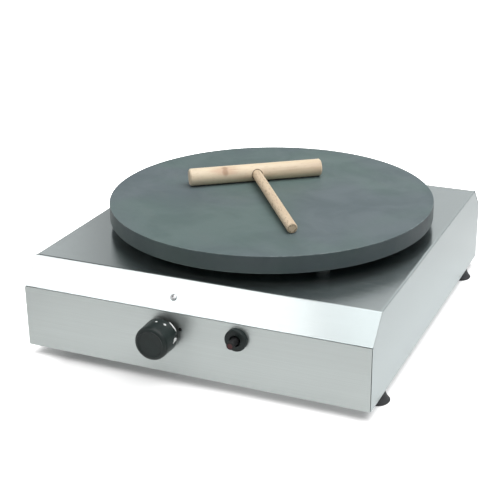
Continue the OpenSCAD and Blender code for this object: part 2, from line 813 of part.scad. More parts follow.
// Igniter body: dished round head outside the panel and a threaded barrel behind it
module igniter_body() {
    bore = button_r + button_play;
    color(black) along_y(igniter_x, front_y, igniter_axis_z) difference() {
        rotate_extrude() polygon([[0, 0], [barrel_r, 0], [barrel_r, barrel_end], [0, barrel_end]]);
        translate([0, 0, -1]) cylinder(r = bore, h = button_bore_end + 1);
    }
    color(black) along_y(igniter_x, front_y, igniter_axis_z) rotate_extrude() polygon(concat(
        [[bore, 0], [igniter_r, 0]], arc(igniter_r - 1.5, -head_h + 1.5, 1.5, 0, -90, 4),
        [[6.6, -head_h], [5.7, -2.4], [bore, -2]]));
    color(brass) along_y(igniter_x, front_y + barrel_end, igniter_axis_z) cylinder(r = 2.2, h = 7);
}

module igniter_nut() {
    color(black) along_y(igniter_x, front_y + sheet, igniter_axis_z) nut(24, 5, barrel_r);
}

module igniter_button() {
    color([0.25, 0.09, 0.09]) along_y(igniter_x, front_y - button_reach, igniter_axis_z)
        rotate_extrude() polygon([
        [0, 0.3], [3.1, 0.3], [3.1, 0], [button_r - 0.8, 0], [button_r, 0.8],
        [button_r, button_reach + button_shoulder], [button_stem_r, button_reach + button_shoulder],
        [button_stem_r, button_reach + button_stem], [0, button_reach + button_stem]]);
}

module igniter_spring() {
    color(steel) along_y(igniter_x, front_y + button_shoulder + 0.1, igniter_axis_z) difference() {
        cylinder(r = button_r - 0.3, h = button_bore_end - button_shoulder - 0.2);
        translate([0, 0, -1]) cylinder(r = button_stem_r + 0.5, h = 22);
    }
}

// Clip that holds the flame probe and the spark electrode next to the front arm
module pilot_bracket() {
    color(steel) difference() {
        translate([pilot_x - 7, pilot_y - 8, hub_z]) cube([pilot_pitch + 15, 16, 1.5]);
        translate([pilot_x, pilot_y, hub_z - 1]) cylinder(r = probe_hole, h = 5);
        translate([pilot_x + pilot_pitch, pilot_y, hub_z - 1]) cylinder(r = electrode_hole, h = 5);
    }
}

module thermocouple() {
    low = [pilot_x, pilot_y, pan_z - 8];
    plug = [knob_x + 25, branch_y, knob_axis_z];
    color([0.72, 0.45, 0.30]) {
        translate([pilot_x, pilot_y, hub_z + 1.5]) hex(8, 4);
        translate(low) cylinder(r = 3, h = 30);
        translate(low + [0, 0, 29]) cylinder(r = 2.2, h = 5);
        translate(plug) rotate([0, 90, 0]) cylinder(r = 4, h = 9);
        lead([low + [0, 0, 1], low - [0, 0, 40], plug + [60, 0, -10], plug + [8, 0, 0]], 1.5, [1, -1, 1]);
    }
}

module ignition_electrode() {
    electrode_x = pilot_x + pilot_pitch;
    color([0.93, 0.92, 0.88]) translate([electrode_x, pilot_y, pan_z - 6]) cylinder(r = 3.5, h = 26);
    color([0.93, 0.92, 0.88]) translate([electrode_x, pilot_y, hub_z + 1.5]) cylinder(r = 5.5, h = 3);
    color(steel) translate([electrode_x, pilot_y, pan_z - 9]) cylinder(r = 1, h = 37);
    color(steel) translate([electrode_x + 1, pilot_y, pan_z + 27]) rotate([0, -90, 0]) cylinder(r = 1, h = 9);
}

module ignition_lead() {
    from = [pilot_x + pilot_pitch, pilot_y, pan_z - 9];
    to = [igniter_x, front_y + barrel_end + 7, igniter_axis_z];
    color([0.85, 0.85, 0.82]) lead([from, from - [0, 0, 45], to + [0, 50, 0], to], 2, [1, 0, 0]);
}

// Places a shape on the spreader, with X along the bar and -Y towards the handle's end
module on_spreader() {
    translate([bar_x, bar_y, bar_z]) rotate(bar_turn) children();
}

module spreader_bar() {
    end_chamfer = 1.6;
    color(timber) on_spreader() difference() {
        rotate([0, 90, 0]) rotate_extrude() polygon([[0, -bar_l / 2], [bar_r - end_chamfer, -bar_l / 2],
            [bar_r, -bar_l / 2 + end_chamfer], [bar_r, bar_l / 2 - end_chamfer],
            [bar_r - end_chamfer, bar_l / 2], [0, bar_l / 2]]);
        rotate([90 + handle_tilt, 0, 0]) translate([0, 0, -5]) cylinder(r = handle_r + 0.05, h = 40);
        rotate([90 + handle_tilt, 0, 0]) translate([0, 0, bar_r - 3]) cylinder(r = handle_r + 0.4, h = 40);
    }
}

module spreader_handle() {
    end_chamfer = 1;
    root = 5;
    color(timber) on_spreader() rotate([90 + handle_tilt, 0, 0]) translate([0, 0, -root])
        rotate_extrude() polygon([
        [0, 0], [handle_r, 0], [handle_r, handle_l + root - end_chamfer],
        [handle_r - end_chamfer, handle_l + root], [0, handle_l + root]]);
}

top_cover();
front_panel();
rear_panel();
base_plate();
front_left_foot();
front_right_foot();
rear_left_foot();
rear_right_foot();
foot_screws();
foot_nuts();
rear_panel_screws();
base_screws();
griddle_plate();
front_left_post();
front_right_post();
rear_left_post();
rear_right_post();
post_nuts();
burner_pan();
burner_hub();
hub_screws();
burner_cap();
burner_arm_1();
burner_arm_2();
burner_arm_3();
burner_arm_4();
burner_arm_5();
burner_arm_6();
burner_arm_7();
burner_arm_8();
mixer_tube();
mixer_bracket();
air_shutter();
injector();
gas_tap_body();
tap_nut();
tap_bracket();
bracket_screw();
bracket_nut();
tap_spindle();
safety_plunger();
tap_spring();
control_knob();
supply_pipe();
pipe_nuts();
inlet_fitting();
inlet_nut();
igniter_body();
igniter_nut();
igniter_button();
igniter_spring();
ignition_electrode();
ignition_lead();
thermocouple();
pilot_bracket();
spreader_bar();
spreader_handle();
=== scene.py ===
import math

import bmesh
import bpy
from mathutils import Matrix, Vector


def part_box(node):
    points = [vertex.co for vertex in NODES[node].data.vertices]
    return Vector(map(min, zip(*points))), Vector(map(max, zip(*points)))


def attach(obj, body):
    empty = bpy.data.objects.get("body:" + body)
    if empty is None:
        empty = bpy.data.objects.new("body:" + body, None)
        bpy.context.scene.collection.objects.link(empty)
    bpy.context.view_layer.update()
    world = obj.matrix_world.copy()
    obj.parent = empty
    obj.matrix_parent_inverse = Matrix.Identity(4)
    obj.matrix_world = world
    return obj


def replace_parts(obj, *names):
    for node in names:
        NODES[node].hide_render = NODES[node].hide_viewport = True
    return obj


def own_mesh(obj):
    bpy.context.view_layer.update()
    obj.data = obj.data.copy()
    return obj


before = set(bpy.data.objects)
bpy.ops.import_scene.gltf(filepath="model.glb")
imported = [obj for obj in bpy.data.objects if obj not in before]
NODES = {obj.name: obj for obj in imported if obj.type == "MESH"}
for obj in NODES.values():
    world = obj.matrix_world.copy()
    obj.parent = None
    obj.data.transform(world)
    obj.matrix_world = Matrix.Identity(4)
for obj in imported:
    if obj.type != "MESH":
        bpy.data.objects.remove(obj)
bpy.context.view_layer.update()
MM = 0.001
WHITE = (1, 1, 1)

# Camera: its place, its turn about Z, its drop below level, its roll and its lens
CAMERA_AT = Vector((0.52956, -1.26230, 0.63680))
CAMERA_TURN = math.radians(23.81)
CAMERA_DROP = math.radians(22.243)
CAMERA_ROLL = math.radians(-0.674)
LENS = 84.374
SENSOR = 36
CLIP_START, CLIP_END = 0.05, 60

# Studio: the room's light on the object, its brightness in a mirror, and the floor's radius
AMBIENT = 0.16
ROOM = 0.72
FLOOR_RADIUS = 8

# Lamps, all facing straight down: size, place, radiance and colour
LAMPS = {
    "main_lamp": ((3.25, 3.5), (0.975, -0.15, 2.4), 1.9, WHITE),
    "key_lamp": ((1.9, 2.2), (1.08, 0.20, 2.4), 2.4, WHITE),
    "strip_lamp": ((1.94, 1.2), (-1.635, -1.45, 2.3), 2.6, (1.0, 0.96, 0.955)),
}

# Places and sizes on the object that materials and pieces of the scene are fitted to
KNOB_LOW, KNOB_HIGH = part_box("control_knob")
KNOB_X, KNOB_Z = (KNOB_LOW.x + KNOB_HIGH.x) / 2, (KNOB_LOW.z + KNOB_HIGH.z) / 2
KNOB_BACK = KNOB_HIGH.y
KNOB_REACH = KNOB_BACK - KNOB_LOW.y
KNOB_R = (KNOB_HIGH.x - KNOB_LOW.x) / 2
PANEL_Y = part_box("front_panel")[0].y
HALF_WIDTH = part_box("top_cover")[1].x
BUTTON_CENTRE = sum(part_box("igniter_button"), Vector()) / 2
PLATE_CENTRE = sum(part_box("griddle_plate"), Vector()) / 2
BAR_CENTRE = sum(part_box("spreader_bar"), Vector()) / 2
SPREADER_TURN = math.radians(35.8)
HANDLE_R = 6.25 * MM
HANDLE_L = 193 * MM
HANDLE_TILT = math.radians(1.41)

# Axis of the spreader that the wood's grain follows
ALONG_BAR, ALONG_HANDLE = 0, 1

# Screws with a cross recess: the way the heads point, radius and height of the head, and the
# shank's length
SCREWS = {
    "rear_panel_screws": ((0, 1, 0), 3.8 * MM, 2.4 * MM, 8 * MM),
    "base_screws": ((0, 0, -1), 4 * MM, 2.4 * MM, 7 * MM),
    "hub_screws": ((0, 0, 1), 3.6 * MM, 2.2 * MM, 8 * MM),
    "bracket_screw": ((0, -1, 1), 3.5 * MM, 2.2 * MM, 8 * MM),
}
SCREW_SHANK_R = 2 * MM

# The knob's side: height over its back, and how far it lies inside the CAD radius, in mm
KNOB_TAPER = [(3.1, 0.2), (5.0, 0.2), (8.0, 0.4), (22.5, 0.6)]

# The index lobe at the knob's back: how far it swells out, the radius within which nothing does,
# and the angles and the height that it fades out towards
LOBE_SWELL, LOBE_BEYOND = 1.6 * MM, 19 * MM
LOBE_FROM, LOBE_FADE_IN = 12, 12
LOBE_TO, LOBE_FADE_OUT = 66, 10
LOBE_TOP, LOBE_FADE_UP = 8 * MM, 3.5 * MM

# Printed marks on the knob's side: dots as angle, height and radius, and shapes as rows of an
# angle and the two heights between which the print lies, in degrees and mm
KNOB_DOTS = [(91, 10.5, 1.3), (62, 9.3, 1.55)]
KNOB_ARC = [(58, 3.1, 3.6), (53, 2.9, 4.4), (46, 2.9, 4.8), (38, 2.9, 4.8), (31, 2.9, 4.5),
            (26, 3.0, 4.2), (23, 3.2, 3.7)]
KNOB_POINTER = [(7, 6.6, 8.4), (4, 4.0, 10.0), (1, 3.4, 10.4), (-2, 3.4, 10.6), (-4, 4.8, 11.8),
                (-6, 8.0, 12.0), (-8, 10.6, 12.0)]
INK_LIFT = 0.05 * MM

# The printed dot on the panel that the knob's marks are read against
REFERENCE_X, REFERENCE_Z, REFERENCE_R = -10 * MM, 69 * MM, 2.1 * MM

# Half-inch pipe thread of the gas inlet
THREAD_R, THREAD_PITCH, THREAD_DEPTH, THREAD_L = 10.48 * MM, 1.814 * MM, 1.16 * MM, 22 * MM


class Nodes:
    """A node tree, with short calls for the nodes that go into it."""

    def __init__(self, tree):
        self.tree = tree

    def node(self, kind, settings=None, **inputs):
        """A new node. An input is named by its socket, or as i0, i1 and so on by its number."""
        made = self.tree.nodes.new(kind)
        for key, value in (settings or {}).items():
            setattr(made, key, value)
        for key, value in inputs.items():
            numbered = key[0] == "i" and key[1:].isdigit()
            socket = made.inputs[int(key[1:])] if numbered else made.inputs[key]
            if isinstance(value, bpy.types.NodeSocket):
                self.tree.links.new(value, socket)
            else:
                socket.default_value = value
        return made

    def apart(self, vector):
        return self.node("ShaderNodeSeparateXYZ", i0=vector).outputs

    def vector(self, how, a, b=(0, 0, 0), result=0):
        return self.node("ShaderNodeVectorMath", {"operation": how}, i0=a, i1=b).outputs[result]

    def length(self, vector):
        return self.vector("LENGTH", vector, result="Value")

    def math(self, how, a, b=0.0):
        return self.node("ShaderNodeMath", {"operation": how}, i0=a, i1=b).outputs[0]

    def span(self, value, low, high, out_low=0.0, out_high=1.0):
        """Moves softly from out_low to out_high as the value goes from low to high."""
        made = self.node("ShaderNodeMapRange", {"interpolation_type": "SMOOTHSTEP"}, i0=value)
        for i, v in enumerate((low, high, out_low, out_high)):
            made.inputs[i + 1].default_value = v
        return made.outputs[0]


class Paint(Nodes):
    """A Principled material, with short calls for what feeds it."""

    def __init__(self, name, metallic=0.0, roughness=0.5, **sockets):
        self.material = bpy.data.materials.new(name)
        self.material.use_nodes = True
        super().__init__(self.material.node_tree)
        self.shader = self.tree.nodes["Principled BSDF"]
        self.set("Metallic", metallic)
        self.set("Roughness", roughness)
        for socket, value in sockets.items():
            self.set(socket.replace("_", " "), value)

    def set(self, socket, value):
        if isinstance(value, bpy.types.NodeSocket):
            self.tree.links.new(value, self.shader.inputs[socket])
        else:
            self.shader.inputs[socket].default_value = value

    def place(self, at=(0, 0, 0), turn=(0, 0, 0), scale=(1, 1, 1)):
        """Coordinates of the piece, moved so that at is the middle, turned and then scaled."""
        coords = self.node("ShaderNodeTexCoord").outputs["Object"]
        moved = self.vector("SUBTRACT", coords, at)
        turned = self.node("ShaderNodeMapping", Vector=moved, Rotation=turn).outputs[0]
        return self.vector("MULTIPLY", turned, scale)

    def normal(self):
        return self.node("ShaderNodeNewGeometry").outputs["Normal"]

    def either(self, share, a, b):
        """Vector a, or b where share is 1."""
        return self.node("ShaderNodeMix", {"data_type": "VECTOR"}, i0=share, i4=a, i5=b).outputs[1]

    def edges(self, radius):
        """1 along the outer edges of the piece, fading over radius."""
        rounded = self.node("ShaderNodeBevel", {"samples": 4}, Radius=radius).outputs[0]
        alike = self.vector("DOT_PRODUCT", rounded, self.normal(), "Value")
        return self.span(alike, 0.995, 0.86)

    def noise(self, at, detail=3.0, roughness=0.5, distortion=0.0):
        """Noise at coordinates that already have their scale."""
        return self.node("ShaderNodeTexNoise", Vector=at, Scale=1.0, Detail=detail,
                         Roughness=roughness, Distortion=distortion).outputs["Fac"]

    def mottle(self, scale, detail=3.0, roughness=0.5, distortion=0.0, at=(0, 0, 0)):
        """Noise that is alike in all directions, with scale patches to the metre."""
        return self.noise(self.place(at=at, scale=(scale, scale, scale)),
                          detail, roughness, distortion)

    def blend(self, amount, a, b, how="MIX"):
        """Colour a, or b where the amount is 1."""
        made = self.node("ShaderNodeMix", {"data_type": "RGBA", "blend_type": how})
        for socket, value in ((made.inputs[0], amount), (made.inputs[6], a), (made.inputs[7], b)):
            if isinstance(value, bpy.types.NodeSocket):
                self.tree.links.new(value, socket)
            else:
                socket.default_value = value if isinstance(value, float) else (*value, 1)
        return made.outputs[2]

    def bump(self, height, strength, distance=0.2 * MM):
        made = self.node("ShaderNodeBump", Height=height, Strength=strength, Distance=distance)
        self.set("Normal", made.outputs[0])


def shade(colour, share):
    """A colour made darker, or lighter where the share is over 1."""
    return tuple(c * share for c in colour)


def brushed_sheet(name, colour, roughness, anisotropy, seed=0.0):
    """Brushed stainless sheet. Its grain runs along the width, and on the sides up and down."""
    p = Paint(name, metallic=1.0, Anisotropic=anisotropy)
    normal = p.normal()
    on_side = p.math("GREATER_THAN", p.math("ABSOLUTE", p.apart(normal)[0]), 0.7)

    def grained(at, along, across, detail, rough):
        scale = p.either(on_side, (along, across, across), (across, across, along))
        return p.noise(p.vector("MULTIPLY", p.place(at=at), scale), detail, rough)

    streak = grained((seed, seed, seed), 9, 1500, 4.0, 0.6)
    band = grained((seed, 0, seed), 2.2, 260, 3.0, 0.55)
    cloud = p.mottle(9, roughness=0.6, at=(0, seed, 0))
    smears = p.mottle(42, 4.0, 0.7, 0.6, at=(seed, 0, 0))
    tone = p.blend(p.span(streak, 0.3, 0.7), shade(colour, 0.94), shade(colour, 1.04))
    tone = p.blend(p.span(band, 0.35, 0.7, 0.0, 0.35), tone, shade(colour, 0.96))
    tone = p.blend(p.span(cloud, 0.3, 0.75, 0.0, 0.2), tone, shade(colour, 0.94))
    worn = p.math("MULTIPLY", p.edges(1.1 * MM), p.span(smears, 0.4, 0.62))
    p.set("Base Color", p.blend(worn, tone, shade(colour, 1.16)))
    gloss = p.math("ADD", p.span(streak, 0.25, 0.75, roughness - 0.03, roughness + 0.04),
                   p.span(smears, 0.55, 0.8, 0.0, 0.04))
    p.set("Roughness", p.math("ADD", gloss, p.math("MULTIPLY", worn, -0.06)))
    # The grain's axis lies a little askew, so that it is never parallel to a face's normal
    axis = p.either(on_side, (1, 0.02, 0.03), (0.02, 0.03, 1))
    p.set("Tangent", p.vector("NORMALIZE", p.vector("CROSS_PRODUCT", normal, axis)))
    p.bump(streak, 0.05)
    return p.material


def mill_steel(name, colour):
    """Plain sheet as it leaves the mill, with faint handling marks."""
    p = Paint(name, metallic=1.0)
    cloud = p.mottle(22, 5.0, 0.65)
    scuff = p.noise(p.place(turn=(0, 0, 0.5), scale=(40, 600, 600)))
    p.set("Base Color", p.blend(p.span(cloud, 0.3, 0.7), shade(colour, 0.82), shade(colour, 1.06)))
    p.set("Roughness", p.math("ADD", p.span(cloud, 0.3, 0.7, 0.31, 0.46),
                              p.span(scuff, 0.5, 0.7, 0.0, 0.07)))
    p.bump(scuff, 0.06)
    return p.material


def turned_metal(name, colour, roughness=0.24, dirt=0.48):
    """Machined or plated small parts, dulled in patches."""
    p = Paint(name, metallic=1.0)
    cloud = p.mottle(160, 4.0, 0.6)
    fine = p.mottle(900, 2.0)
    p.set("Base Color", p.blend(p.span(cloud, 0.42, 0.75, 0.0, dirt), colour, shade(colour, 0.62)))
    p.set("Roughness", p.span(cloud, 0.3, 0.75, roughness, roughness + 0.16))
    p.bump(fine, 0.04)
    return p.material


def griddle_iron(name):
    """Ground iron, slate green with bluer patches, fine rings, an edge chipped bright, and painted
    shade on its rim.
    """
    p = Paint(name, roughness=0.5, Specular_IOR_Level=0.25)
    green, blue = (0.1140, 0.1640, 0.1580), (0.1210, 0.1535, 0.1670)
    patch, smeared, scratched = (0.80, 0.82, 0.83), (0.105, 0.140, 0.138), (0.17, 0.20, 0.20)
    rim, chip = (0.53, 0.53, 0.53), (0.40, 0.46, 0.46)
    drift = p.mottle(6, 2.0, 0.5, 0.5, at=(0.05, 0.2, 0))
    cloud = p.mottle(17, 4.0, 0.55, 0.5)
    smudge = p.noise(p.place((0.3, 0.1, 0), (0, 0, 0.6), (16, 44, 30)), 3.0, 0.55)
    grit = p.mottle(1400, 3.0, 0.7)
    scratch = p.noise(p.place((0.7, 0, 0), (0, 0, -0.5), (26, 900, 500)), 2.0, 0.4)
    chips = p.noise(p.place(scale=(120, 120, 300)), 4.0, 0.7)
    rings = p.node("ShaderNodeTexWave", {"wave_type": "RINGS", "rings_direction": "Z"},
                   Vector=p.place(at=tuple(PLATE_CENTRE)), Scale=260.0, Distortion=1.6,
                   Detail=3.0).outputs["Fac"]
    tone = p.blend(p.span(drift, 0.38, 0.62), green, blue)
    tone = p.blend(p.span(cloud, 0.34, 0.68, 0.0, 0.75), tone,
                   p.blend(1.0, tone, patch, "MULTIPLY"))
    tone = p.blend(p.span(smudge, 0.58, 0.76, 0.0, 0.45), tone, smeared)
    tone = p.blend(p.span(grit, 0.4, 0.65, 0.0, 0.28), tone, shade(green, 0.74))
    tone = p.blend(p.span(scratch, 0.71, 0.78, 0.0, 0.35), tone, scratched)
    upward = p.apart(p.normal())[2]
    # Painted shade: faces that don't face up, such as the rim, are darkened as if less light fell
    # on them
    tone = p.blend(p.span(upward, 0.2, 0.8, 1.0, 0.0), tone, p.blend(1.0, tone, rim, "MULTIPLY"))
    chipped = p.math("MULTIPLY", p.edges(1.3 * MM), p.span(chips, 0.48, 0.60, 0.25, 1.0))
    p.set("Base Color", p.blend(chipped, tone, chip))
    p.set("Roughness", p.math("ADD", p.span(cloud, 0.3, 0.7, 0.44, 0.53),
                              p.span(smudge, 0.5, 0.75, 0.0, -0.05)))
    p.bump(p.math("ADD", p.math("MULTIPLY", rings, 0.25), grit), 0.10, 0.3 * MM)
    return p.material


def cast_iron(name):
    """Sand-cast iron with a grained skin and a little brown where it has been hot."""
    p = Paint(name, metallic=0.35, roughness=0.68)
    base, brown = (0.045, 0.045, 0.047), (0.085, 0.05, 0.03)
    grain = p.mottle(520, 5.0, 0.7)
    cloud = p.mottle(60, 4.0)
    tone = p.blend(p.span(grain, 0.35, 0.7), shade(base, 0.6), shade(base, 1.5))
    p.set("Base Color", p.blend(p.span(cloud, 0.52, 0.72, 0.0, 0.45), tone, brown))
    p.set("Roughness", p.span(grain, 0.3, 0.7, 0.58, 0.8))
    p.bump(grain, 0.45, 0.6 * MM)
    return p.material


def hot_tube(name):
    """Stainless burner tube, straw and blue where the flames have tinted it."""
    p = Paint(name, metallic=1.0)
    clean, straw, blue = (0.42, 0.40, 0.37), (0.38, 0.29, 0.17), (0.17, 0.18, 0.26)
    drawn = p.mottle(400)
    heat = p.mottle(45, distortion=0.8)
    tone = p.blend(p.span(heat, 0.4, 0.55), clean, straw)
    p.set("Base Color", p.blend(p.span(heat, 0.56, 0.7), tone, blue))
    p.set("Roughness", p.span(drawn, 0.3, 0.7, 0.3, 0.44))
    p.bump(drawn, 0.05)
    return p.material


def plastic(name, colour, roughness, gloss=0.5):
    """Moulded plastic: even, with a very fine skin, faint rubbed patches and paler edges."""
    p = Paint(name, roughness=roughness, Specular_IOR_Level=gloss)
    skin = p.mottle(1600, 2.0, 0.6)
    rub = p.mottle(70, 3.0, 0.6)
    tone = p.blend(p.span(rub, 0.4, 0.7), colour, shade(colour, 1.35))
    worn = p.math("MULTIPLY", p.edges(0.8 * MM), p.span(rub, 0.25, 0.6, 0.35, 1.0))
    p.set("Base Color", p.blend(worn, tone, shade(colour, 1.8)))
    p.set("Roughness", p.math("ADD", p.span(rub, 0.35, 0.7, roughness - 0.04, roughness + 0.06),
                              p.span(skin, 0.4, 0.7, 0.0, 0.04)))
    p.bump(skin, 0.04)
    return p.material


def button_plastic(name):
    """Black push button with a dull red spot let into its end."""
    p = Paint(name, roughness=0.42, Specular_IOR_Level=0.25)
    spot_r = 3.12 * MM
    off_axis = p.length(p.place(at=tuple(BUTTON_CENTRE), scale=(1, 0, 1)))
    spot = p.math("LESS_THAN", off_axis, spot_r)
    dust = p.mottle(420, 3.0, 0.65)
    black = p.blend(p.span(dust, 0.45, 0.75), (0.012, 0.0125, 0.013), (0.024, 0.024, 0.025))
    red = p.blend(p.span(dust, 0.4, 0.7), (0.075, 0.026, 0.028), (0.115, 0.045, 0.045))
    p.set("Base Color", p.blend(spot, black, red))
    p.set("Roughness", p.span(dust, 0.3, 0.7, 0.36, 0.5))
    p.bump(dust, 0.05)
    return p.material


def rubber(name):
    """Dull black rubber with a bloom of dust."""
    p = Paint(name, roughness=0.7)
    black, bloom = (0.026, 0.028, 0.031), (0.06, 0.063, 0.066)
    skin = p.mottle(900, 4.0, 0.7)
    dust = p.mottle(120)
    p.set("Base Color", p.blend(p.span(dust, 0.45, 0.75, 0.0, 0.6), black, bloom))
    p.set("Roughness", p.span(skin, 0.3, 0.7, 0.6, 0.78))
    p.bump(skin, 0.2, 0.3 * MM)
    return p.material


def beech(name, along, tones, flecked, seed=0.0):
    """Pale beech with its grain along the bar or along the handle.

    flecked is how dark the flecks are. The bar also has a knot and the dark joint round the handle,
    a glue line with painted shadow of the gap, and the handle a ring on its sawn end.
    """
    p = Paint(name, roughness=0.58)
    light, mid, dark = tones
    pink, halo_tone, core_tone = (0.70, 0.50, 0.36), (0.66, 0.41, 0.27), (0.40, 0.22, 0.13)
    ring_tone, joint_glue_and_shade_tone = (0.20, 0.13, 0.075), (0.16, 0.10, 0.06)
    turn = (0, 0, -SPREADER_TURN)

    def grained(length, width, at):
        spread = [width, width, width]
        spread[along] = length
        middle = tuple(a + b for a, b in zip(BAR_CENTRE, at))
        return p.place(middle, turn, spread)

    def blot(under, at, size, edge, outer, inner, share, colour):
        """A stain of a size in mm, fading in from outer to inner, its outline bent by a noise."""
        spread = p.length(p.place(at, turn, tuple(1 / (s * MM) for s in size)))
        ragged = p.math("ADD", spread, p.span(edge, 0.3, 0.7, -0.4, 0.4))
        return p.blend(p.span(ragged, outer, inner, 0.0, share), under, colour)

    fibre = p.noise(grained(9, 260, (seed, 0, 0)), 6.0, 0.62)
    fleck = p.noise(grained(150, 640, (0, seed, 0)), 2.0)
    figure = p.noise(grained(2.5, 62, (seed, seed, 0)), 4.0, 0.55, 1.1)
    blush = p.noise(grained(16, 40, (0, 0, seed)), 2.0)
    tone = p.blend(p.span(figure, 0.38, 0.66), light, mid)
    tone = p.blend(p.span(blush, 0.48, 0.74, 0.0, 0.4), tone, pink)
    tone = p.blend(p.span(fibre, 0.5, 0.8, 0.0, 0.55), tone, dark)
    tone = p.blend(p.span(fleck, 0.55, 0.68, 0.0, flecked), tone, dark)
    if along == ALONG_BAR:
        knot = Vector((-41, -7.5, 7.5)) * MM
        knot = tuple(BAR_CENTRE + Matrix.Rotation(SPREADER_TURN, 3, "Z") @ knot)
        tone = blot(tone, knot, (21, 9, 9), fibre, 1.1, 0.1, 0.6, halo_tone)
        tone = blot(tone, knot, (4.2, 8, 8), figure, 1.1, 0.2, 0.62, core_tone)
    tone = p.blend(p.math("MULTIPLY", p.edges(0.9 * MM), 0.45), tone, shade(light, 1.12))
    on_handle = p.node("ShaderNodeMapping", Vector=p.place(BAR_CENTRE, turn),
                       Rotation=(-HANDLE_TILT, 0, 0)).outputs[0]
    off_axis = p.length(p.vector("MULTIPLY", on_handle, (1, 0, 1)))
    reach = p.apart(on_handle)[1]
    if along == ALONG_HANDLE:
        sawn = p.span(reach, 1.5 * MM - HANDLE_L, 0.5 * MM - HANDLE_L)
        wobble = p.math("ADD", off_axis, p.span(fleck, 0.3, 0.7, -0.6 * MM, 0.6 * MM))
        ring = p.math("MULTIPLY", p.span(wobble, HANDLE_R - 2.6 * MM, HANDLE_R - 1.9 * MM),
                      p.span(wobble, HANDLE_R - 1.0 * MM, HANDLE_R - 1.6 * MM))
        tone = p.blend(p.math("MULTIPLY", sawn, 0.12), tone, dark)
        tone = p.blend(p.math("MULTIPLY", sawn, p.math("MULTIPLY", ring, 0.7)), tone, ring_tone)
    else:
        # Painted shadow: the dark joint round the handle is its glue line, with the shade in the
        # gap painted in
        joint_glue_and_shade = p.span(off_axis, HANDLE_R + 1.4 * MM, HANDLE_R + 0.6 * MM)
        facing = p.math("LESS_THAN", reach, 0.0)
        tone = p.blend(p.math("MULTIPLY", joint_glue_and_shade, facing), tone, joint_glue_and_shade_tone)
    p.set("Base Color", tone)
    p.set("Roughness", p.span(fibre, 0.3, 0.7, 0.52, 0.66))
    p.bump(p.math("ADD", fibre, p.math("MULTIPLY", fleck, 0.5)), 0.14, 0.3 * MM)
    return p.material


def ink(name, colour, roughness=0.5):
    """A printed mark: a thin film of ink."""
    p = Paint(name, roughness=roughness)
    wear = p.mottle(900, 3.0, 0.7)
    p.set("Base Color", p.blend(p.span(wear, 0.35, 0.7), colour, shade(colour, 0.86)))
    p.set("Roughness", p.span(wear, 0.3, 0.7, roughness - 0.06, roughness + 0.08))
    p.bump(wear, 0.05, 0.1 * MM)
    return p.material


def glazed(name):
    """Glazed porcelain, sooted in patches."""
    p = Paint(name, roughness=0.2, Coat_Weight=0.4)
    clean, sooty = (0.78, 0.76, 0.70), (0.45, 0.40, 0.33)
    soot = p.mottle(150, 4.0)
    p.set("Base Color", p.blend(p.span(soot, 0.5, 0.75), clean, sooty))
    p.set("Roughness", p.span(soot, 0.4, 0.7, 0.16, 0.34))
    return p.material


def circle(steps):
    """Cosine and sine of evenly spaced angles."""
    return [(math.cos(2 * math.pi * i / steps), math.sin(2 * math.pi * i / steps))
            for i in range(steps)]


def fan(rim):
    """Triangles from point 0 to a ring of rim points after it."""
    return [(0, i + 1, (i + 1) % rim + 1) for i in range(rim)]


def smooth(mesh, sharp=None):
    """Smooth shading, where edges sharper than an angle in degrees stay crisp."""
    mesh.polygons.foreach_set("use_smooth", [True] * len(mesh.polygons))
    if sharp:
        mesh.set_sharp_from_angle(angle=math.radians(sharp))


def mesh_from(name, points, faces, sharp=None):
    """A smooth mesh of points and faces as they are."""
    mesh = bpy.data.meshes.new(name)
    mesh.from_pydata(points, [], faces)
    mesh.update()
    smooth(mesh, sharp)
    return mesh


def welded(name, points, faces):
    """A mesh whose doubled points are merged and whose normals face outwards."""
    work = bmesh.new()
    verts = [work.verts.new(p) for p in points]
    for face in faces:
        work.faces.new([verts[i] for i in face])
    bmesh.ops.remove_doubles(work, verts=work.verts, dist=1e-7)
    bmesh.ops.dissolve_degenerate(work, edges=work.edges, dist=1e-7)
    bmesh.ops.recalc_face_normals(work, faces=work.faces)
    mesh = bpy.data.meshes.new(name)
    work.to_mesh(mesh)
    work.free()
    return mesh


def revolve(profile, steps):
    """Points and faces of a profile of (radius, height) turned about Z."""
    points, faces = [], []
    rows = len(profile)
    for c, s in circle(steps):
        points += [(r * c, r * s, z) for r, z in profile]
    for i in range(steps):
        j = (i + 1) % steps
        for k in range(rows - 1):
            faces.append((i * rows + k, j * rows + k, j * rows + k + 1, i * rows + k + 1))
    return points, faces


def add_piece(name, mesh, body, material):
    """A piece of the scene's own, riding on a body."""
    piece = bpy.data.objects.new(name, mesh)
    bpy.context.scene.collection.objects.link(piece)
    mesh.materials.clear()
    mesh.materials.append(material)
    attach(piece, body)
    return piece


def islands(node):
    """Low and high corner of each separate solid in a CAD node, in order of place."""
    work = bmesh.new()
    work.from_mesh(NODES[node].data)
    bmesh.ops.remove_doubles(work, verts=work.verts, dist=1e-6)
    left, found = set(work.verts), []
    while left:
        stack, group = [left.pop()], []
        while stack:
            v = stack.pop()
            group.append(v.co.copy())
            for e in v.link_edges:
                other = e.other_vert(v)
                if other in left:
                    left.discard(other)
                    stack.append(other)
        found.append((Vector(map(min, zip(*group))), Vector(map(max, zip(*group)))))
    work.free()
    return sorted(found, key=lambda box: tuple(box[0]))


